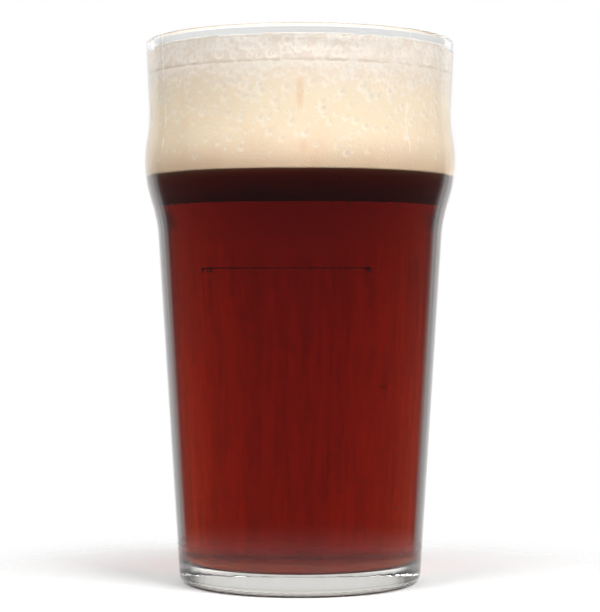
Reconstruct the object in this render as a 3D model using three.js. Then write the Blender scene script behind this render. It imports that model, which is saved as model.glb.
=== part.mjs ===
// A one-piece pint glass with a shoulder bulge, filled with dark beer and a head of foam.
// Millimetres, +Z up. The origin is the centre of the ring the glass stands on.
// The glass, the beer and the foam are all turned about Z. A small gap keeps each solid clear of the next.

import * as THREE from "three";

// ---- The glass's outside ----
const GLASS_HEIGHT = 149; // foot to rim; with the walls below it holds an imperial pint to the brim
const FOOT_RADIUS = 33.29; // where the taper's line meets the table
const TAPER_SLOPE = 0.0622; // outward per millimetre of height, 3.6 degrees
const FOOT_ROUND = 2.4;
const SHOULDER_SLOPE = 0.29; // steepest part of the flare below the bulge
const SHOULDER_ROUND = 38;
const BULGE_RADIUS = 42.88;
const BULGE_HEIGHT = 115.8; // of the bulge's widest ring
const BULGE_ROUND = 34;
const NECK_SLOPE = -0.165; // back inwards above the bulge
const WAIST_RADIUS = 41.58;
const WAIST_HEIGHT = 128.5;
const WAIST_ROUND = 39;
const RIM_SLOPE = 0.048; // the rim's gentle flare
const LIP_ROUND = 1.05; // half the rim's thickness, so that the lip is a full round

// ---- The glass's underside and inside ----
const PUNT_HEIGHT = 1.2; // the underside is pushed up inside the ring it stands on
const PUNT_RADIUS = 25.5;
const PUNT_ROUND = 3;
const RING_INNER_RADIUS = 28.6;
const RING_ROUND = 0.8;
const FLOOR_HEIGHT = 5.6; // top of the thick glass bottom
const FLOOR_ROUND = 8;
const WALL_AT_FOOT = 3.0;
const WALL_AT_RIM = 2.15;

// ---- What is in it ----
const GAP = 0.3; // between two solids
const BEER_TOP = 111.85; // where the foam starts
const FOAM_TOP = 140.6;
const FOAM_EDGE_ROUND = 1.6;
const FOAM_CROWN = 0.7; // the foam's middle stands this much above its edge

// ---- Fineness ----
const SEGMENTS = 72; // round Z; shared, so that the gaps are the same all round
const ARC_STEP = (15 * Math.PI) / 180; // a small round's turn from one point to the next
const LONGEST_CHORD = 4.5; // and a large one's straight piece
const ON_CURVE = 1e-6;

const looks = {
  glass: { color: 0xf2f4f2, roughness: 0.04, metalness: 0, transparent: true, opacity: 0.3 },
  beer: { color: 0x5a120c, roughness: 0.1, metalness: 0, transparent: true, opacity: 0.92 },
  foam: { color: 0xf3dec4, roughness: 0.9, metalness: 0 },
};

// One corner of an outline: radius from the axis, height, and the round that softens it.
function corner(radius, height, round = 0) {
  return { at: new THREE.Vector2(radius, height), round };
}

// Where two lines cross, each given as radius = at + slope * height.
function crossing(first, second) {
  const height = (second.at - first.at) / (first.slope - second.slope);
  return [first.at + first.slope * height, height];
}

// A line through one point: the radius that it would have at height zero, and its slope.
function lineThrough(radius, height, slope) {
  return { at: radius - slope * height, slope };
}

// The points of the arc that rounds one corner between its neighbours.
function roundedCorner(before, here, after) {
  if (here.round <= 0) return [here.at.clone()];
  const arriving = here.at.clone().sub(before.at).normalize();
  const leaving = after.at.clone().sub(here.at).normalize();
  const turn = Math.atan2(arriving.cross(leaving), arriving.dot(leaving));
  const reach = here.round * Math.tan(Math.abs(turn) / 2);
  const start = here.at.clone().addScaledVector(arriving, -reach);
  const inward = new THREE.Vector2(-arriving.y, arriving.x).multiplyScalar(Math.sign(turn));
  const centre = start.clone().addScaledVector(inward, here.round);
  const step = Math.min(ARC_STEP, LONGEST_CHORD / here.round);
  const count = Math.max(2, Math.ceil(Math.abs(turn) / step));
  const points = [];
  for (let i = 0; i <= count; i++) {
    points.push(start.clone().rotateAround(centre, (turn * i) / count));
  }
  return points;
}

// An outline with its corners rounded. Its first and last corners are kept as they are.
function roundedOutline(corners) {
  const points = [corners[0].at.clone()];
  for (let i = 1; i < corners.length - 1; i++) {
    points.push(...roundedCorner(corners[i - 1], corners[i], corners[i + 1]));
  }
  points.push(corners[corners.length - 1].at.clone());
  return points;
}

// The wall's thickness, measured across, at a height.
function wallAt(height) {
  return WALL_AT_FOOT + ((WALL_AT_RIM - WALL_AT_FOOT) * height) / GLASS_HEIGHT;
}

// ---- The four straight runs of the outside, and the corners between them ----
const taper = { at: FOOT_RADIUS, slope: TAPER_SLOPE };
const bulgeCentre = BULGE_RADIUS - BULGE_ROUND;

// The line that leaves the bulge's arc where the arc leans by this slope.
function lineOffBulge(slope) {
  const lean = Math.atan(slope);
  const radius = bulgeCentre + BULGE_ROUND * Math.cos(lean);
  const height = BULGE_HEIGHT - BULGE_ROUND * Math.sin(lean);
  return lineThrough(radius, height, slope);
}

const shoulder = lineOffBulge(SHOULDER_SLOPE);
const neck = lineOffBulge(NECK_SLOPE);
const rim = lineThrough(WAIST_RADIUS, WAIST_HEIGHT, RIM_SLOPE);
const rimRadius = rim.at + rim.slope * GLASS_HEIGHT;

const sideCorners = [
  corner(...crossing(taper, shoulder), SHOULDER_ROUND),
  corner(...crossing(shoulder, neck), BULGE_ROUND),
  corner(...crossing(neck, rim), WAIST_ROUND),
];

// The corners of the hollow, a distance in from its wall and its floor. Rounds that bend outwards shrink with it.
function hollowCorners(inset) {
  const [lower, bulge, waist] = sideCorners.map(({ at, round }, i) => {
    const inwards = wallAt(at.y) + inset;
    return corner(at.x - inwards, at.y, i === 1 ? round - inwards : round + inwards);
  });
  const floor = FLOOR_HEIGHT + inset;
  const floorRadius = taper.at + taper.slope * floor - wallAt(floor) - inset;
  return [corner(0, floor), corner(floorRadius, floor, FLOOR_ROUND - inset), lower, bulge, waist];
}

function glassOutline() {
  return roundedOutline([
    corner(0, PUNT_HEIGHT),
    corner(PUNT_RADIUS, PUNT_HEIGHT, PUNT_ROUND),
    corner(RING_INNER_RADIUS, 0, RING_ROUND),
    corner(FOOT_RADIUS, 0, FOOT_ROUND),
    ...sideCorners,
    corner(rimRadius, GLASS_HEIGHT, LIP_ROUND),
    corner(rimRadius - 2 * LIP_ROUND - 0.02, GLASS_HEIGHT, LIP_ROUND),
    ...hollowCorners(0).reverse(),
  ]);
}

// The side of what fills the glass, from its bottom's middle up to the rim, a gap clear of the glass.
function fillSide() {
  return roundedOutline([...hollowCorners(GAP), corner(rimRadius - WALL_AT_RIM - GAP, GLASS_HEIGHT)]);
}

// The point of a rising side at a height.
function sideAt(side, height) {
  const above = side.findIndex((point) => point.y > height);
  const [low, high] = [side[above - 1], side[above]];
  return low.clone().lerp(high, (height - low.y) / (high.y - low.y));
}

// The part of a rising side between two heights.
function sideBetween(side, bottom, top) {
  const inside = side.filter((point) => point.y > bottom + ON_CURVE && point.y < top - ON_CURVE);
  return [sideAt(side, bottom), ...inside, sideAt(side, top)];
}

function beerOutline() {
  const top = BEER_TOP - GAP / 2;
  const side = fillSide();
  const rising = side.filter((point) => point.y < top - ON_CURVE);
  return [...rising, sideAt(side, top), new THREE.Vector2(0, top)];
}

function foamOutline() {
  const bottom = BEER_TOP + GAP / 2;
  const side = sideBetween(fillSide(), bottom, FOAM_TOP - 2 * FOAM_EDGE_ROUND);
  const edge = sideAt(fillSide(), FOAM_TOP);
  const last = side[side.length - 1];
  const top = roundedOutline([
    corner(last.x, last.y),
    corner(edge.x, edge.y, FOAM_EDGE_ROUND),
    corner(0, FOAM_TOP + FOAM_CROWN),
  ]);
  return [new THREE.Vector2(0, bottom), ...side, ...top.slice(1)];
}

// A named solid, turned about Z from an outline of radius and height.
function turned(name, outline, look) {
  const geometry = new THREE.LatheGeometry(outline, SEGMENTS);
  geometry.rotateX(Math.PI / 2);
  const mesh = new THREE.Mesh(geometry, new THREE.MeshStandardMaterial(look));
  mesh.name = name;
  return mesh;
}

const pintGlass = new THREE.Group();
pintGlass.name = "pint_glass";
pintGlass.add(turned("glass_body", glassOutline(), looks.glass));
pintGlass.add(turned("beer", beerOutline(), looks.beer));
pintGlass.add(turned("foam_head", foamOutline(), looks.foam));

export default pintGlass;
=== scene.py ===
import math
import random

import bmesh
import bpy
import numpy as np
from mathutils import Matrix, Vector

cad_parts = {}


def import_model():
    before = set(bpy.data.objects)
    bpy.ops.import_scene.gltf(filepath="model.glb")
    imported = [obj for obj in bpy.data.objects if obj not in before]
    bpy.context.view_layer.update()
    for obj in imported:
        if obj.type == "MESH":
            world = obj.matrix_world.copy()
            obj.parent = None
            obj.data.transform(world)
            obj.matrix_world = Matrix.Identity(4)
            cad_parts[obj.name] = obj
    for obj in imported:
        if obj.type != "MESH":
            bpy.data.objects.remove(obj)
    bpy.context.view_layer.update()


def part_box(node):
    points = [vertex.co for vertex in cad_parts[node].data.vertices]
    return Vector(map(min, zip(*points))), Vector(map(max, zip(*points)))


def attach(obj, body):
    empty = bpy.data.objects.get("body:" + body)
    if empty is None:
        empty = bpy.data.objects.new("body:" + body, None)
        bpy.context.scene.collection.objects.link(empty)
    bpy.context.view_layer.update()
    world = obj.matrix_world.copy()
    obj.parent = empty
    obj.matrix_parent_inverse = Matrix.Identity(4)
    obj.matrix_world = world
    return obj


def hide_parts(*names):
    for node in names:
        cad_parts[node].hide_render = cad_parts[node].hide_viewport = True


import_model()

MM = 0.001
TURN = 2 * math.pi
rng = random.Random(41)


def box_mm(name):
    return [[v / MM for v in corner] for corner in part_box(name)]


# ---------------------------------------------------------------- dimensions, in mm
GLASS_HEIGHT = box_mm("glass_body")[1][2]
BEER_TOP = (box_mm("beer")[1][2] + box_mm("foam_head")[0][2]) / 2
FOAM_CROWN = 0.7
FOAM_TOP = box_mm("foam_head")[1][2] - FOAM_CROWN
LACING_TOP = GLASS_HEIGHT - 2.2
FOOT_RADIUS = 33.29
TAPER_SLOPE = 0.0622
FOOT_ROUND = 2.4
SHOULDER_SLOPE = 0.29
SHOULDER_ROUND = 38.0
BULGE_RADIUS = 42.88
BULGE_HEIGHT = 115.8
BULGE_ROUND = 34.0
NECK_SLOPE = -0.165
WAIST_RADIUS = 41.58
WAIST_HEIGHT = 128.5
WAIST_ROUND = 39.0
RIM_SLOPE = 0.048
LIP_ROUND = 1.05
PUNT_HEIGHT = 1.2
PUNT_RADIUS = 25.5
PUNT_ROUND = 3.0
RING_INNER_RADIUS = 28.6
RING_ROUND = 0.8
FLOOR_HEIGHT = 5.6
FLOOR_ROUND = 3.5
WALL_AT_FOOT = 3.0
WALL_AT_RIM = 2.15
CONTACT = 0.02          # what keeps two touching surfaces apart
OUTLINE_STEP = 2.4
ARC_STEP_DEG = 6.0
ARC_CHORD = 0.9
SEGMENTS = 360


# ---------------------------------------------------------------- outlines
def through(radius, height, slope):
    """A straight side, as its radius at the table and its slope."""
    return (radius - slope * height, slope)


def off_bulge(slope):
    """The straight side that touches the bulge's round at a slope."""
    lean = math.atan(slope)
    centre = BULGE_RADIUS - BULGE_ROUND
    radius = centre + BULGE_ROUND * math.cos(lean)
    height = BULGE_HEIGHT - BULGE_ROUND * math.sin(lean)
    return through(radius, height, slope)


def crossing(a, b):
    height = (b[0] - a[0]) / (a[1] - b[1])
    return (a[0] + a[1] * height, height)


TAPER = (FOOT_RADIUS, TAPER_SLOPE)
SHOULDER = off_bulge(SHOULDER_SLOPE)
NECK = off_bulge(NECK_SLOPE)
RIM = through(WAIST_RADIUS, WAIST_HEIGHT, RIM_SLOPE)
RIM_RADIUS = RIM[0] + RIM[1] * GLASS_HEIGHT
SIDE = [
    (crossing(TAPER, SHOULDER), SHOULDER_ROUND),
    (crossing(SHOULDER, NECK), BULGE_ROUND),
    (crossing(NECK, RIM), WAIST_ROUND),
]


def wall(height):
    return WALL_AT_FOOT + (WALL_AT_RIM - WALL_AT_FOOT) * height / GLASS_HEIGHT


def hollow(inset):
    """The corners of the glass's inside, as much smaller as inset says, each with its rounding."""
    corners = []
    floor = FLOOR_HEIGHT + inset
    corners.append(((0.0, floor), 0.0))
    corners.append(((TAPER[0] + TAPER[1] * floor - wall(floor) - inset, floor), FLOOR_ROUND - inset))
    for i, ((r, z), rnd) in enumerate(SIDE):
        inwards = wall(z) + inset
        corners.append(((r - inwards, z), rnd - inwards if i == 1 else rnd + inwards))
    return corners


def rounded(corners):
    """Points along the corners' outline, with each corner rounded to its own radius."""
    pts = [np.array(corners[0][0])]
    for i in range(1, len(corners) - 1):
        (here, rnd) = corners[i]
        here = np.array(here)
        if rnd <= 0:
            pts.append(here)
            continue
        a = here - np.array(corners[i - 1][0])
        b = np.array(corners[i + 1][0]) - here
        a /= np.linalg.norm(a)
        b /= np.linalg.norm(b)
        turn = math.atan2(a[0] * b[1] - a[1] * b[0], a @ b)
        start = here - a * rnd * math.tan(abs(turn) / 2)
        centre = start + np.array([-a[1], a[0]]) * math.copysign(rnd, turn)
        n = max(3, math.ceil(abs(turn) / min(math.radians(ARC_STEP_DEG), ARC_CHORD / rnd)))
        for k in range(n + 1):
            t = turn * k / n
            d = start - centre
            pts.append(centre + np.array([d[0] * math.cos(t) - d[1] * math.sin(t),
                                          d[0] * math.sin(t) + d[1] * math.cos(t)]))
    pts.append(np.array(corners[-1][0]))
    return np.array(pts)


def filled(points, longest):
    out = [points[0]]
    for a, b in zip(points[:-1], points[1:]):
        n = max(1, math.ceil(np.linalg.norm(b - a) / longest))
        for k in range(1, n + 1):
            out.append(a + (b - a) * k / n)
    return np.array(out)


def glass_outline():
    corners = [
        ((0.0, PUNT_HEIGHT), 0), ((PUNT_RADIUS, PUNT_HEIGHT), PUNT_ROUND),
        ((RING_INNER_RADIUS, 0.0), RING_ROUND), ((FOOT_RADIUS, 0.0), FOOT_ROUND),
        *SIDE,
        ((RIM_RADIUS, GLASS_HEIGHT), LIP_ROUND),
        ((RIM_RADIUS - 2 * LIP_ROUND - CONTACT, GLASS_HEIGHT), LIP_ROUND),
        *reversed(hollow(0.0)),
    ]
    return filled(rounded(corners), OUTLINE_STEP)


def fill_side(inset):
    top = (RIM_RADIUS - WALL_AT_RIM - inset, GLASS_HEIGHT)
    return filled(rounded(hollow(inset) + [(top, 0)]), OUTLINE_STEP)


GLASS_OUTLINE = glass_outline()
LIP = int(np.argmax(GLASS_OUTLINE[:, 1]))
BEFORE_LIP = np.arange(len(GLASS_OUTLINE)) < LIP
OUTER_WALL = GLASS_OUTLINE[BEFORE_LIP & (GLASS_OUTLINE[:, 0] > RING_INNER_RADIUS + 1)]
INNER_WALL = fill_side(0.0)
INNER_WALL = INNER_WALL[INNER_WALL[:, 0] > FOOT_RADIUS - WALL_AT_FOOT - FLOOR_ROUND / 2]


def outer_radius(height):
    return np.interp(height, OUTER_WALL[:, 1], OUTER_WALL[:, 0])


def inner_radius(height):
    return np.interp(height, INNER_WALL[:, 1], INNER_WALL[:, 0])


# ---------------------------------------------------------------- relief of the surfaces
SLOW_WAVES = [(rng.randint(9, 60), rng.uniform(0, TURN), rng.uniform(-0.012, 0.012)) for _ in range(14)]
DRAWN_LINES = [(rng.randint(46, 88), rng.uniform(0, TURN), rng.uniform(18, 60), rng.uniform(0, TURN))
               for _ in range(20)]
SLOW_DEPTH = 0.055
LINE_DEPTH = 0.0035
RELIEF_START = 2.5
RELIEF_RISE = 6.0
RELIEF_END = 2.0          # below the rim
RELIEF_FALL = 5.0
RELIEF_INNER_RADIUS = 30.0
STIPPLES = 72
STIPPLE_DEPTH = 0.16
STIPPLE_INSET = 0.8
STIPPLE_WIDTH = 1.2
STIPPLE_HEIGHT = 3.0
STIPPLE_WANDER = 0.7
STIPPLE_LOWEST = -0.2
BUBBLE_REACH = 1.5        # in bubble radii
BUBBLE_RIM = 0.95
BUBBLE_RIM_WIDTH = 0.24


def wall_relief(theta, z):
    """How far the outer wall stands out from its outline, in mm: slow waves and drawn lines."""
    slow = sum(np.sin(n * theta + phase + twist * z) / n for n, phase, twist in SLOW_WAVES)
    lines = sum(np.sin(n * theta + phase) * np.sin(z / run + start)
                for n, phase, run, start in DRAWN_LINES)
    fade_in = np.clip((z - RELIEF_START) / RELIEF_RISE, 0, 1)
    fade_out = np.clip((GLASS_HEIGHT - RELIEF_END - z) / RELIEF_FALL, 0, 1)
    return fade_in * fade_out * (SLOW_DEPTH * slow + LINE_DEPTH * lines)


def stipple(theta, r, z):
    """Uneven ridges across the foot's rounded edge."""
    band = np.exp(-((r - FOOT_RADIUS + STIPPLE_INSET) / STIPPLE_WIDTH) ** 2)
    band = band * np.clip(1 - z / STIPPLE_HEIGHT, 0, 1)
    wander = STIPPLE_WANDER * np.sin(5 * theta)
    ridge = np.clip(np.sin(STIPPLES * theta + wander), STIPPLE_LOWEST, 1)
    return -STIPPLE_DEPTH * band * ridge


def glass_relief(theta, r, z, row):
    relief = wall_relief(theta, z) + stipple(theta, r, z)
    outside = np.where(r > RELIEF_INNER_RADIUS, relief, 0)
    return np.where(row >= LIP, 0, outside), 0


def bubble_field(u, v, bubbles, depth_share, turn=None):
    """How deep each point lies in a bubble, in mm, and how near it is to a bubble's rim, up to 1.

    Points and bubbles are placed by u and v in mm. u starts again after a turn.
    """
    depth = np.zeros(v.shape)
    rim = np.zeros(v.shape)
    for bubble_u, bubble_v, size in bubbles:
        rows = np.abs(v - bubble_v).min(axis=1) < BUBBLE_REACH * size
        aside = u[rows] - bubble_u
        if turn:
            aside = (aside + turn / 2) % turn - turn / 2
        d = np.hypot(aside, v[rows] - bubble_v) / size
        dent = depth_share * size * np.sqrt(np.clip(1 - d * d, 0, 1))
        depth[rows] = np.maximum(depth[rows], dent)
        rim[rows] = np.maximum(rim[rows], np.exp(-((d - BUBBLE_RIM) / BUBBLE_RIM_WIDTH) ** 2))
    return depth, rim


# ---------------------------------------------------------------- meshes
def mesh_object(name, verts, faces, mats, face_mats=None, smooth=True):
    me = bpy.data.meshes.new(name)
    me.from_pydata(verts, [], faces)
    for m in mats:
        me.materials.append(m)
    if face_mats is not None:
        me.polygons.foreach_set("material_index", face_mats)
    me.polygons.foreach_set("use_smooth", [smooth] * len(me.polygons))
    me.update()
    ob = bpy.data.objects.new(name, me)
    bpy.context.scene.collection.objects.link(ob)
    return ob


def turned_grid(outline, segments):
    """Angle, radius, height and row of every point between an outline's two ends."""
    rows = np.arange(1, len(outline) - 1)
    theta = np.tile(np.arange(segments) * TURN / segments, (len(rows), 1))
    r = np.repeat(outline[rows, 0:1], segments, axis=1)
    z = np.repeat(outline[rows, 1:2], segments, axis=1)
    return theta, r, z, np.repeat(rows[:, None], segments, axis=1)


def placed(theta, r, z):
    return np.stack([r * np.sin(theta), -r * np.cos(theta), z], axis=-1).reshape(-1, 3) * MM


def ring_faces(rows, segments, first, closed=False):
    here = np.arange(segments)
    after = (here + 1) % segments
    faces = []
    for i in range(rows if closed else rows - 1):
        a = first + i * segments
        b = first + (i + 1) % rows * segments
        faces.extend(np.stack([a + here, a + after, b + after, b + here], axis=1).tolist())
    return faces


def lathe(name, outline, mats, relief=None, band=None, segments=SEGMENTS):
    """A solid turned about Z from an outline in mm that starts and ends on the axis.

    relief says how far each point stands outwards and upwards.
    """
    theta, r, z, row = turned_grid(outline, segments)
    if relief:
        outwards, upwards = relief(theta, r, z, row)
        r = r + outwards
        z = z + upwards
    rows = len(outline) - 2
    verts = [(0, 0, outline[0][1] * MM), *placed(theta, r, z).tolist(), (0, 0, outline[-1][1] * MM)]
    last = 1 + (rows - 1) * segments
    top = len(verts) - 1
    side = ring_faces(rows, segments, 1)
    low_cap = [(0, 1 + (j + 1) % segments, 1 + j) for j in range(segments)]
    high_cap = [(last + j, last + (j + 1) % segments, top) for j in range(segments)]
    face_mats = None
    if band:
        side_mats = [band(i + 1) for i in range(rows - 1) for _ in range(segments)]
        face_mats = [band(0)] * segments + side_mats + [band(rows)] * segments
    return mesh_object(name, verts, low_cap + side + high_cap, mats, face_mats)


def store(ob, name, values):
    ob.data.attributes.new(name, "FLOAT", "POINT").data.foreach_set("value", np.ravel(values))


# ---------------------------------------------------------------- material helpers
def new_mat(name):
    m = bpy.data.materials.new(name)
    m.use_nodes = True
    return m, m.node_tree, m.node_tree.nodes["Principled BSDF"]


def node(nt, kind, **props):
    n = nt.nodes.new(kind)
    for k, v in props.items():
        if k in n.inputs:
            n.inputs[k].default_value = v
        else:
            setattr(n, k, v)
    return n


def join(nt, value, socket):
    if hasattr(value, "links"):
        nt.links.new(value, socket)
    elif value is not None:
        socket.default_value = value


def math_node(nt, op, a=None, b=None):
    n = node(nt, "ShaderNodeMath", operation=op)
    join(nt, a, n.inputs[0])
    join(nt, b, n.inputs[1])
    return n.outputs[0]


def mapped(nt, value, low, high, to_low=0.0, to_high=1.0, kind="SMOOTHSTEP"):
    n = node(nt, "ShaderNodeMapRange", interpolation_type=kind)
    for key, v in (("From Min", low), ("From Max", high), ("To Min", to_low), ("To Max", to_high)):
        n.inputs[key].default_value = v
    join(nt, value, n.inputs["Value"])
    return n.outputs["Result"]


def mixed(nt, factor, a, b, kind="RGBA"):
    n = node(nt, "ShaderNodeMix", data_type=kind)
    first = {"FLOAT": 2, "RGBA": 6}[kind]
    join(nt, factor, n.inputs["Factor"])
    join(nt, a, n.inputs[first])
    join(nt, b, n.inputs[first + 1])
    return n.outputs[first // 3]


def curve_of(nt, value, stops):
    """A level that follows stops of (place, level), read off value."""
    low, high = stops[0][0], stops[-1][0]
    peak = max(v for _, v in stops)
    n = nt.nodes.new("ShaderNodeValToRGB")
    marks = n.color_ramp.elements
    while len(marks) < len(stops):
        marks.new(0.5)
    for mark, (place, level) in zip(marks, stops):
        mark.position = (place - low) / (high - low)
        mark.color = (level / peak, level / peak, level / peak, 1)
    join(nt, mapped(nt, value, low, high, kind="LINEAR"), n.inputs[0])
    return math_node(nt, "MULTIPLY", n.outputs[0], peak)


def object_point(nt, scale=(1, 1, 1)):
    tc = nt.nodes.new("ShaderNodeTexCoord")
    mp = node(nt, "ShaderNodeMapping", Scale=scale)
    nt.links.new(tc.outputs["Object"], mp.inputs["Vector"])
    return mp.outputs[0]


def object_height(nt):
    sep = nt.nodes.new("ShaderNodeSeparateXYZ")
    nt.links.new(object_point(nt), sep.inputs[0])
    return sep.outputs["Z"]


def noise(nt, stretch, scale, detail):
    n = node(nt, "ShaderNodeTexNoise", Scale=scale, Detail=detail, Roughness=0.5)
    nt.links.new(object_point(nt, stretch), n.inputs["Vector"])
    return n.outputs["Fac"]


def patches(nt, pattern, stretch=(1, 1, 1), peak=1.0):
    """Noise as soft patches of up to peak. A pattern is scale, detail, and where patches start and end."""
    scale, detail, low, high = pattern
    return mapped(nt, noise(nt, stretch, scale, detail), low, high, 0.0, peak)


def bumped(nt, bsdf, height, distance):
    n = node(nt, "ShaderNodeBump", Strength=1.0, Distance=distance)
    nt.links.new(height, n.inputs["Height"])
    nt.links.new(n.outputs[0], bsdf.inputs["Normal"])


# ---------------------------------------------------------------- materials
GLASS_IOR = 1.5
BEER_IOR = 1.345
AIR_IOR = 1.0
BEER_DENSITY = 140.0
BEER_ABSORPTION = (31.0, 92.0, 130.0)      # per metre, for red, green and blue
# painted shade: the tint of faint darker vertical streaks low on the wetted wall
STREAK_SHADE_TINT = (0.76, 0.80, 0.78, 1)
THIN_GLASS = (0.99, 0.995, 0.99, 1)
# the thick bottom's dark tint: partly the glass's own, partly painted shade
THICK_GLASS_TINT_AND_SHADE = (0.46, 0.43, 0.36, 1)
DRAWN = (1, 1, 0.04)                       # stretches a pattern up the wall
WIDE_WAVES = (170.0, 2.0)                  # a noise's scale and detail
FINE_WAVES = (620.0, 1.0)
FINE_WAVE_SHARE = 0.1
WAVE_BUMP = 0.00006                        # metres
SMUDGES = (55.0, 5.0, 0.62, 0.8)
SMUDGE_ROUGHNESS = 0.05
WIDE_SHADE_STREAKS = (260.0, 2.0, 0.42, 0.62)
THIN_SHADE_STREAKS = (900.0, 2.0, 0.45, 0.65)
SHADE_STREAKS_END = (0.085, 0.1)                    # the heights, in metres, over which the painted shade streaks fade out
STREAK_SHADE_STRENGTH = 0.7


def clear_bsdf(name, ior):
    m, nt, b = new_mat(name)
    b.inputs["Base Color"].default_value = (1, 1, 1, 1)
    b.inputs["Transmission Weight"].default_value = 1.0
    b.inputs["IOR"].default_value = ior
    b.inputs["Roughness"].default_value = 0.0
    return m, nt, b


def glass_material():
    """Clear glass. Its thick bottom is tinted darker by height, from the table to the inner floor: partly
    the thick glass's own tint, partly painted shade.
    """
    m, nt, b = clear_bsdf("clear_glass", GLASS_IOR)
    thick = mapped(nt, object_height(nt), FLOOR_HEIGHT * MM, 0.0, kind="LINEAR")
    # partly painted shade: the thick bottom darkens towards the table
    nt.links.new(mixed(nt, thick, THIN_GLASS, THICK_GLASS_TINT_AND_SHADE), b.inputs["Base Color"])
    wide = noise(nt, DRAWN, *WIDE_WAVES)
    fine = math_node(nt, "MULTIPLY", noise(nt, DRAWN, *FINE_WAVES), FINE_WAVE_SHARE)
    bumped(nt, b, math_node(nt, "ADD", wide, fine), WAVE_BUMP)
    nt.links.new(patches(nt, SMUDGES, peak=SMUDGE_ROUGHNESS), b.inputs["Roughness"])
    return m


def wet_material():
    """The inner wall where liquid or wet foam touches it: light crosses from glass to liquid.

    Faint darker vertical streaks of painted shade tint it.
    """
    m, nt, b = clear_bsdf("wetted_glass", GLASS_IOR / BEER_IOR)
    # painted shade: darker vertical streaks that fade out upwards
    both = math_node(nt, "ADD", patches(nt, WIDE_SHADE_STREAKS, DRAWN), patches(nt, THIN_SHADE_STREAKS, DRAWN))
    low_down = mapped(nt, object_height(nt), *SHADE_STREAKS_END, 1.0, 0.0)
    shade_streaks = math_node(nt, "MULTIPLY", both, low_down)
    share = math_node(nt, "MULTIPLY", shade_streaks, STREAK_SHADE_STRENGTH)
    nt.links.new(mixed(nt, share, (1, 1, 1, 1), STREAK_SHADE_TINT), b.inputs["Base Color"])
    return m


def beer_material():
    """Its surface bends nothing, because the wetted wall has done so already."""
    m, nt, _ = clear_bsdf("dark_ale", AIR_IOR)
    v = nt.nodes.new("ShaderNodeVolumeAbsorption")
    v.inputs["Color"].default_value = (*[1 - s / BEER_DENSITY for s in BEER_ABSORPTION], 1)
    v.inputs["Density"].default_value = BEER_DENSITY
    nt.links.new(v.outputs[0], nt.nodes["Material Output"].inputs["Volume"])
    return m


def gas_material():
    return clear_bsdf("gas_bubble", AIR_IOR / BEER_IOR)[0]


CREAM = (0.99, 0.88, 0.72, 1)
# a brown tone used both for real beer stains and for painted shade
STAIN_AND_SHADE_TONE = (0.85, 0.60, 0.39, 1)
FROTH = (0.86, 0.77, 0.69, 1)
# painted highlight: the white of the pale rings round the bubbles
RING_HIGHLIGHT_WHITE = (1.0, 0.96, 0.91, 1)
# painted shade: the darker tone inside the bubbles' hollows
HOLLOW_SHADE_TONE = (0.84, 0.72, 0.60, 1)
HOLLOW_SHADE_STRENGTH = 0.2
# how strongly the painted ring highlights show
RING_HIGHLIGHT_STRENGTH = 0.64
FOAM_SUBSURFACE = 0.15
LACING_SUBSURFACE = 0.12
# partly beer stain, partly painted shade: the foam darkens towards the beer, where less light reaches
STAIN_AND_SHADE_STOPS = [(BEER_TOP * MM, 0.75), (0.115, 0.42), (0.120, 0.14), (0.128, 0.05), (0.135, 0)]
BLOTCHES = (130.0, 4.0, 0.45, 0.75)
BLOTCH_STRETCH = (1, 1, 0.6)
BLOTCH_STAIN = 0.14
FROTH_HEIGHTS = (0.127, 0.146)             # metres, from all cream to all froth
CELL_SCALE = 1900.0
CELL_BUMP = 0.00004                        # metres
GRAIN = (2500.0, 3.0, 0.3, 0.7)
ENAMEL_DARK = (0.8, 0.79, 0.76, 1)
ENAMEL_PALE = (0.9, 0.89, 0.87, 1)


def attribute(nt, name):
    return node(nt, "ShaderNodeAttribute", attribute_name=name).outputs["Fac"]


def bubbled(nt, colour):
    """Bubbles get painted highlight as pale rings, round hollows darkened with painted shade."""
    # painted shade in the bubbles' hollows
    hollow_shade = math_node(nt, "MULTIPLY", attribute(nt, "hollow"), HOLLOW_SHADE_STRENGTH)
    # painted highlight: pale rings at the bubbles' rims
    rings = math_node(nt, "MULTIPLY", attribute(nt, "ring_highlight"), RING_HIGHLIGHT_STRENGTH)
    return mixed(nt, rings, mixed(nt, hollow_shade, colour, HOLLOW_SHADE_TONE), RING_HIGHLIGHT_WHITE)


def foam_colour(nt):
    """Cream that turns to paler froth upwards, and browner near the bottom: partly beer stain, partly
    painted shade where less light reaches. Its crown is darkened too: partly its larger-bubbled froth,
    partly painted shade.
    """
    height = object_height(nt)
    blotch = patches(nt, BLOTCHES, BLOTCH_STRETCH, BLOTCH_STAIN)
    # partly beer stain, partly painted shade darkening the lower foam
    stain_and_shade = math_node(nt, "ADD", curve_of(nt, height, STAIN_AND_SHADE_STOPS), blotch)
    stain_and_shade = math_node(nt, "MAXIMUM", stain_and_shade, attribute(nt, "drip_and_crown_darkening"))
    pale = mixed(nt, mapped(nt, height, *FROTH_HEIGHTS), CREAM, FROTH)
    return bubbled(nt, mixed(nt, stain_and_shade, pale, STAIN_AND_SHADE_TONE))


def foam_material(name, subsurface):
    m, nt, b = new_mat(name)
    b.inputs["Roughness"].default_value = 0.75
    b.inputs["IOR"].default_value = 1.3
    b.inputs["Subsurface Radius"].default_value = (1.0, 0.8, 0.6)
    b.inputs["Subsurface Scale"].default_value = 0.0025
    b.inputs["Subsurface Weight"].default_value = subsurface
    nt.links.new(foam_colour(nt), b.inputs["Base Color"])
    cells = node(nt, "ShaderNodeTexVoronoi", Scale=CELL_SCALE)
    nt.links.new(object_point(nt), cells.inputs["Vector"])
    bumped(nt, b, cells.outputs["Distance"], CELL_BUMP)
    return m


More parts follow.
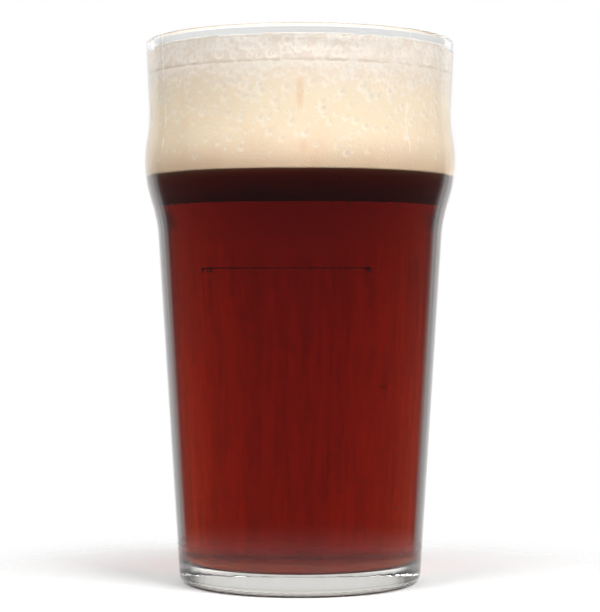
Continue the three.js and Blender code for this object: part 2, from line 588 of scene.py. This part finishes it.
def enamel_material():
    m, nt, b = new_mat("fill_enamel")
    nt.links.new(mixed(nt, patches(nt, GRAIN), ENAMEL_DARK, ENAMEL_PALE), b.inputs["Base Color"])
    b.inputs["Transmission Weight"].default_value = 0.9
    b.inputs["Roughness"].default_value = 0.35
    return m


# ---------------------------------------------------------------- pieces
def part_of_object(ob, slot, *nodes):
    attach(ob, "root")
    if nodes:
        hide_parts(*nodes)


def glass_band(row):
    """Which of the glass's two materials a row of faces has."""
    z = (GLASS_OUTLINE[row][1] + GLASS_OUTLINE[min(row + 1, len(GLASS_OUTLINE) - 1)][1]) / 2
    return 1 if row >= LIP and z < LACING_TOP else 0


def glass_shell():
    mats = [glass_material(), wet_material()]
    ob = lathe("glass_shell", GLASS_OUTLINE, mats, glass_relief, glass_band)
    part_of_object(ob, "glass", "glass_body")


def cut_side(low, high, step):
    """The side of what fills the glass, from one height to another."""
    heights = np.linspace(low, high, math.ceil((high - low) / step) + 1)
    return np.stack([inner_radius(heights) - CONTACT, heights], axis=1)


DISC_STEPS = (0.97, 0.8, 0.5, 0.2)


def beer_fill():
    side = fill_side(CONTACT)
    rising = side[side[:, 1] < BEER_TOP - 1e-6]
    edge = inner_radius(BEER_TOP) - CONTACT
    top = [(edge * k, BEER_TOP) for k in (1, *DISC_STEPS, 0)]
    part_of_object(lathe("beer_fill", np.vstack([rising, top]), [beer_material()]), "beer", "beer")


FOAM_SEGMENTS = 600
CROWN_STEP = 0.6
CROWN_BUBBLES = 900
# how far the crown is darkened towards the brown tone: partly its larger-bubbled froth, partly painted
# shade against the light from above
CROWN_DARKENING = 0.3
FOAM_STEP = 0.4
LACING_SEGMENTS = 900
LACING_STEP = 0.25
LACING_OVERLAP = 1.4
LACING_THICKNESS = 0.3
LACING_TUCK = 0.9         # how high the film's lower edge stays hidden in the foam
LACING_EDGE = 0.8         # what its bubbles keep away from its two edges
LACING_RAGGED = 0.5
FOAM_BUBBLES = 2600
LACING_BUBBLES = 850
FOAM_BUBBLE_SIZE = (0.42, 0.85, 2)      # the smallest radius, how much more, and how rare large ones are
CROWN_BUBBLE_SIZE = (0.55, 1.5, 4)
LACING_BUBBLE_SIZE = (0.45, 0.9, 2)
FOAM_BUBBLE_DEPTH = 0.2                 # shares of a bubble's radius
CROWN_BUBBLE_DEPTH = 0.4
LACING_BUBBLE_DEPTH = 0.16
GATHERING = 3.5
SHRINKING = 0.4
DRIP_STAIN = 0.55
DRIPS = [                               # angle, height, half height and half width
    (0.0, 131.0, 4.2, 0.9),
    (0.02, 117.0, 2.4, 1.7),
    (2.1, 128.0, 3.6, 1.0),
    (3.4, 124.0, 5.0, 0.8),
    (4.9, 130.0, 3.0, 1.1),
]


def bubble_size(smallest, more, rarity):
    return smallest + more * rng.random() ** rarity


def side_bubbles():
    """More and larger bubbles gather near the top."""
    out = []
    for _ in range(FOAM_BUBBLES):
        down = rng.random() ** GATHERING
        size = bubble_size(*FOAM_BUBBLE_SIZE) * (1 - SHRINKING * down)
        height = FOAM_TOP - 0.5 - down * (FOAM_TOP - BEER_TOP - 4)
        out.append((rng.uniform(0, TURN) * WAIST_RADIUS, height, size))
    return out


def crown_bubbles(reach):
    out = []
    for _ in range(CROWN_BUBBLES):
        theta = rng.uniform(0, TURN)
        r = reach * math.sqrt(rng.random())
        out.append((r * math.sin(theta), -r * math.cos(theta), bubble_size(*CROWN_BUBBLE_SIZE)))
    return out


def drip_mask(theta, z):
    """Beer that ran down the wall has stained the foam in short vertical patches."""
    mask = np.zeros(z.shape)
    for place, height, tall, wide in DRIPS:
        turn = (theta - place + math.pi) % TURN - math.pi
        near = (turn * WAIST_RADIUS / wide) ** 2 + np.abs((z - height) / tall) ** 3
        mask = np.maximum(mask, DRIP_STAIN * np.exp(-near))
    return mask


def foam_outline():
    """The foam's outline, and how many of its points are on its underside and on its side."""
    side = cut_side(BEER_TOP + CONTACT, FOAM_TOP, FOAM_STEP)
    lean = np.clip((side[:, 1] - FOAM_TOP + LACING_OVERLAP) / LACING_OVERLAP, 0, 1)
    side[:, 0] -= 1.2 * LACING_THICKNESS * lean
    base = [(0, side[0][1]), *[(side[0][0] * k, side[0][1]) for k in reversed(DISC_STEPS)]]
    edge = side[-1][0]
    share = np.linspace(0, 1, math.ceil(edge / CROWN_STEP))[1:]
    crown = np.stack([edge * (1 - share), FOAM_TOP + FOAM_CROWN * np.sqrt(share)], axis=1)
    return np.vstack([base, side, crown]), len(base), len(side)


def foam_head_mass():
    outline, under, upright = foam_outline()
    theta, r, z, row = turned_grid(outline, FOAM_SEGMENTS)
    on_side = (row >= under) & (row < under + upright)
    on_top = row >= under + upright
    edge = outline[under + upright - 1][0]
    side_depth, side_rim = bubble_field(
        theta * WAIST_RADIUS, z, side_bubbles(), FOAM_BUBBLE_DEPTH, TURN * WAIST_RADIUS)
    top_depth, top_rim = bubble_field(
        r * np.sin(theta), -r * np.cos(theta), crown_bubbles(edge - 2), CROWN_BUBBLE_DEPTH)
    side_depth *= np.clip((z - BEER_TOP) / 2, 0, 1) * on_side
    top_depth *= on_top
    mats = [foam_material("cream_foam", FOAM_SUBSURFACE)]
    ob = lathe("foam_head_mass", outline, mats, lambda *_: (-side_depth, -top_depth),
               segments=FOAM_SEGMENTS)
    # how deep the hollows lie, which sets their painted shade
    hollow = side_depth / side_depth.max() + top_depth / top_depth.max()
    # where the painted ring highlights go
    ring_highlight = side_rim * on_side + top_rim * on_top
    # real drips on the side; on the crown, darkening that is partly painted shade
    drip_and_crown_darkening = np.where(on_top, CROWN_DARKENING, drip_mask(theta, z) * on_side)
    for name, values, centre in (("ring_highlight", ring_highlight, 0), ("hollow", hollow, 0), ("drip_and_crown_darkening", drip_and_crown_darkening, CROWN_DARKENING)):
        store(ob, name, [0, *np.ravel(values), centre])
    part_of_object(ob, "foam", "foam_head")


def foam_lacing():
    """The film of bubbles on the wall above the foam. Its top edge is ragged."""
    low = FOAM_TOP - LACING_OVERLAP
    rows = math.ceil((LACING_TOP - low) / LACING_STEP) + 1
    theta = np.tile(np.arange(LACING_SEGMENTS) * TURN / LACING_SEGMENTS, (rows, 1))
    ragged = sum(math.sin(k) * np.sin(k * 7 * theta + k * k) for k in range(1, 9)) / 8
    share = np.repeat(np.linspace(0, 1, rows)[:, None], LACING_SEGMENTS, axis=1)
    z = low + share * (LACING_TOP - 0.35 + LACING_RAGGED * ragged - low)
    turn = TURN * WAIST_RADIUS
    bubbles = []
    for _ in range(LACING_BUBBLES):
        u = rng.uniform(0, turn)
        v = rng.uniform(low + LACING_EDGE, LACING_TOP - LACING_EDGE)
        bubbles.append((u, v, bubble_size(*LACING_BUBBLE_SIZE)))
    depth, rim = bubble_field(theta * WAIST_RADIUS, z, bubbles, LACING_BUBBLE_DEPTH, turn)
    thick = LACING_THICKNESS * np.clip(np.minimum(share, 1 - share) * 8 + 0.15, 0, 1)
    tucked_in = LACING_THICKNESS * np.clip(1 - (z - low) / LACING_TUCK, 0, 1)
    front = inner_radius(z) - CONTACT - tucked_in
    back = front - thick
    depth = np.minimum(depth, 0.7 * thick)
    verts = np.vstack([placed(theta, front - depth, z), placed(theta[::-1], back[::-1], z[::-1])])
    faces = ring_faces(2 * rows, LACING_SEGMENTS, 0, closed=True)
    mats = [foam_material("foam_lacing", LACING_SUBSURFACE)]
    ob = mesh_object("foam_lacing", verts.tolist(), faces, mats)
    # painted highlight at the rims and painted shade in the hollows of the film's bubbles
    for name, values in (("ring_highlight", rim), ("hollow", depth / LACING_THICKNESS)):
        store(ob, name, [*np.ravel(values), *np.ravel(values[::-1])])
    part_of_object(ob, "foam")


MARK_HEIGHT = 88.3
MARK_WIDTH = 26.0
MARK_TURN = 0.043
MARK_THICKNESS = 0.5
MARK_RELIEF = 0.05
TICK_WIDTH = 0.7
TICK_DROP = 1.5
MARK_STEPS = 120
MARK_GAP = 0.01


def fill_mark():
    """An enamel line on the back of the wall, with a short tick at each end."""
    across = np.linspace(-0.5, 0.5, MARK_STEPS) * MARK_WIDTH
    theta = math.pi + MARK_TURN + across / outer_radius(MARK_HEIGHT)
    drop = np.where(np.abs(across) > MARK_WIDTH / 2 - TICK_WIDTH, TICK_DROP, MARK_THICKNESS)
    corners = []
    for height, relief in ((0, MARK_RELIEF), (1, MARK_RELIEF), (1, 0.0), (0, 0.0)):
        z = MARK_HEIGHT - height * drop
        corners.append(placed(theta, outer_radius(z) + wall_relief(theta, z) + MARK_GAP + relief, z))
    verts = np.stack(corners, axis=1).reshape(-1, 3)
    faces = [(0, 1, 2, 3), tuple(4 * (MARK_STEPS - 1) + k for k in (3, 2, 1, 0))]
    for j in range(MARK_STEPS - 1):
        for k in range(4):
            a, b = 4 * j + k, 4 * j + (k + 1) % 4
            faces.append((a, a + 4, b + 4, b))
    part_of_object(mesh_object("fill_mark", verts.tolist(), faces, [enamel_material()]), "glass")


GAS_BUBBLES = 130
GAS_SIZE = (0.1, 0.22, 2)
GAS_DEEPEST = 14.0        # how far in from the wall the furthest one hangs
GAS_GAP = 0.06


def rising_bubbles():
    """Gas bubbles in the beer, most of them close to the wall."""
    bm = bmesh.new()
    for _ in range(GAS_BUBBLES):
        size = bubble_size(*GAS_SIZE)
        z = rng.uniform(FLOOR_HEIGHT + 8, BEER_TOP - 1)
        inwards = size + GAS_GAP + (rng.random() ** 5) * GAS_DEEPEST
        theta = rng.uniform(0, TURN)
        r = inner_radius(z) - inwards
        where = Vector((r * math.sin(theta), -r * math.cos(theta), z)) * MM
        matrix = Matrix.Translation(where)
        bmesh.ops.create_icosphere(bm, subdivisions=2, radius=size * MM, matrix=matrix)
    for f in bm.faces:
        f.smooth = True
    me = bpy.data.meshes.new("rising_bubbles")
    bm.to_mesh(me)
    bm.free()
    me.materials.append(gas_material())
    ob = bpy.data.objects.new("rising_bubbles", me)
    bpy.context.scene.collection.objects.link(ob)
    part_of_object(ob, "beer")


# ---------------------------------------------------------------- stage
PALE = (0.92, 0.915, 0.91, 1)
BACKDROP_LEVEL = 1.15
ROOM_LEVEL = 0.13
BACKDROP_EDGE = (0.6, 0.82)       # where it starts and is whole, 1 being straight behind
BACKDROP_RISE = (0.02, 0.11)      # where it darkens upwards, 1 being straight up
BACKDROP_HIGH = 0.68              # its share of the level above that
FLOOR_FADE = (0.04, 0.12)         # where the floor fades out, in metres from the axis
FLOOR_RINGS = (0.05, 0.1, 0.15)
FLOOR_SEGMENTS = 96
FLOOR_Z = -0.0002
FOAM_MIDDLE = (0, 0, 0.125)
STRIP_DISTANCE = 0.9
STRIP_HEIGHT = 0.12


def world():
    """White to the camera. To all other rays, a soft backdrop behind the glass and a dim room."""
    w = bpy.data.worlds.new("studio")
    bpy.context.scene.world = w
    w.use_nodes = True
    nt = w.node_tree
    tc = nt.nodes.new("ShaderNodeTexCoord")
    sep = nt.nodes.new("ShaderNodeSeparateXYZ")
    nt.links.new(tc.outputs["Generated"], sep.inputs[0])
    behind = mapped(nt, sep.outputs["Y"], *BACKDROP_EDGE)
    falloff = mapped(nt, sep.outputs["Z"], *BACKDROP_RISE, 1.0, BACKDROP_HIGH)
    share = math_node(nt, "MULTIPLY", behind, falloff)
    level = mapped(nt, share, 0, 1, ROOM_LEVEL, BACKDROP_LEVEL, kind="LINEAR")
    seen = nt.nodes.new("ShaderNodeLightPath").outputs["Is Camera Ray"]
    bg = nt.nodes["Background"]
    bg.inputs["Color"].default_value = (1, 1, 1, 1)
    nt.links.new(mixed(nt, seen, level, 1.0, "FLOAT"), bg.inputs["Strength"])


def floor_mesh(rings, n, z):
    verts = [(0, 0, z)]
    for r in rings:
        verts.extend((r * math.cos(TURN * j / n), r * math.sin(TURN * j / n), z) for j in range(n))
    return verts, [(0, 1 + j, 1 + (j + 1) % n) for j in range(n)] + ring_faces(len(rings), n, 1)


def floor():
    """Plain pale paper that fades out round the glass."""
    m, nt, b = new_mat("floor_paper")
    b.inputs["Base Color"].default_value = PALE
    b.inputs["Roughness"].default_value = 0.9
    b.inputs["Specular IOR Level"].default_value = 0.1
    reach = node(nt, "ShaderNodeVectorMath", operation="LENGTH")
    nt.links.new(object_point(nt), reach.inputs[0])
    mix = nt.nodes.new("ShaderNodeMixShader")
    nt.links.new(mapped(nt, reach.outputs["Value"], *FLOOR_FADE), mix.inputs[0])
    nt.links.new(b.outputs[0], mix.inputs[1])
    nt.links.new(nt.nodes.new("ShaderNodeBsdfTransparent").outputs[0], mix.inputs[2])
    nt.links.new(mix.outputs[0], nt.nodes["Material Output"].inputs["Surface"])
    verts, faces = floor_mesh(FLOOR_RINGS, FLOOR_SEGMENTS, FLOOR_Z)
    mesh_object("floor", verts, faces, [m], smooth=False)


def polar(azimuth, elevation, distance, height):
    """A place seen from the axis at a height, with azimuth from +Y towards +X, in degrees."""
    a = math.radians(azimuth)
    e = math.radians(elevation)
    flat = distance * math.cos(e)
    return (flat * math.sin(a), flat * math.cos(a), height + distance * math.sin(e))


def softbox(name, place, target, size, watts):
    light = bpy.data.lights.new(name, "AREA")
    light.shape = "RECTANGLE"
    light.size, light.size_y = size
    light.energy = watts
    ob = bpy.data.objects.new(name, light)
    ob.location = place
    ob.rotation_euler = (Vector(target) - Vector(place)).to_track_quat("-Z", "Y").to_euler()
    ob.visible_camera = False
    bpy.context.scene.collection.objects.link(ob)


RIGHT_STRIP_PLACE = polar(94, 12.6, STRIP_DISTANCE, STRIP_HEIGHT)
LEFT_STRIP_PLACE = polar(-60, 8.5, STRIP_DISTANCE, STRIP_HEIGHT)
SOFTBOXES = [                     # name, place, what it faces, width and height, and watts
    ("top_softbox", (0.0, 0.15, 1.0), (0, 0.1, 0.0), (1.4, 1.4), 2.0),
    ("key_softbox", (0.49, -0.47, 0.62), FOAM_MIDDLE, (0.5, 0.3), 8.0),
    ("fill_softbox", (-0.5, -0.45, 0.6), FOAM_MIDDLE, (0.5, 0.3), 5.5),
    ("right_strip", RIGHT_STRIP_PLACE, FOAM_MIDDLE, (0.026, 0.23), 0.03),
    ("left_strip", LEFT_STRIP_PLACE, FOAM_MIDDLE, (0.026, 0.11), 0.012),
]
CAMERA_LENS = 115.97              # mm
CAMERA_SENSOR = 36.0
CAMERA_PLACE = (0, -0.5472, 0.07844)
CAMERA_DOWN = 0.2485              # degrees below level


def camera():
    cam = bpy.data.cameras.new("camera")
    cam.sensor_width = CAMERA_SENSOR
    cam.lens = CAMERA_LENS
    cam.clip_start = 0.01
    ob = bpy.data.objects.new("camera", cam)
    ob.location = CAMERA_PLACE
    ob.rotation_euler = (math.radians(90 - CAMERA_DOWN), 0, 0)
    bpy.context.scene.collection.objects.link(ob)
    bpy.context.scene.camera = ob


def picture_settings():
    """Light has many clear surfaces to cross, and reaches the foam only through the glass."""
    scene = bpy.context.scene
    scene.view_settings.view_transform = "Standard"
    cycles = scene.cycles
    cycles.max_bounces = 32
    cycles.transmission_bounces = 28
    cycles.transparent_max_bounces = 24
    cycles.glossy_bounces = 10
    cycles.diffuse_bounces = 4
    cycles.caustics_reflective = True
    cycles.caustics_refractive = True
    cycles.blur_glossy = 0.0
    cycles.sample_clamp_indirect = 40.0


glass_shell()
beer_fill()
foam_head_mass()
foam_lacing()
fill_mark()
rising_bubbles()
world()
floor()
for softbox_values in SOFTBOXES:
    softbox(*softbox_values)
camera()
picture_settings()
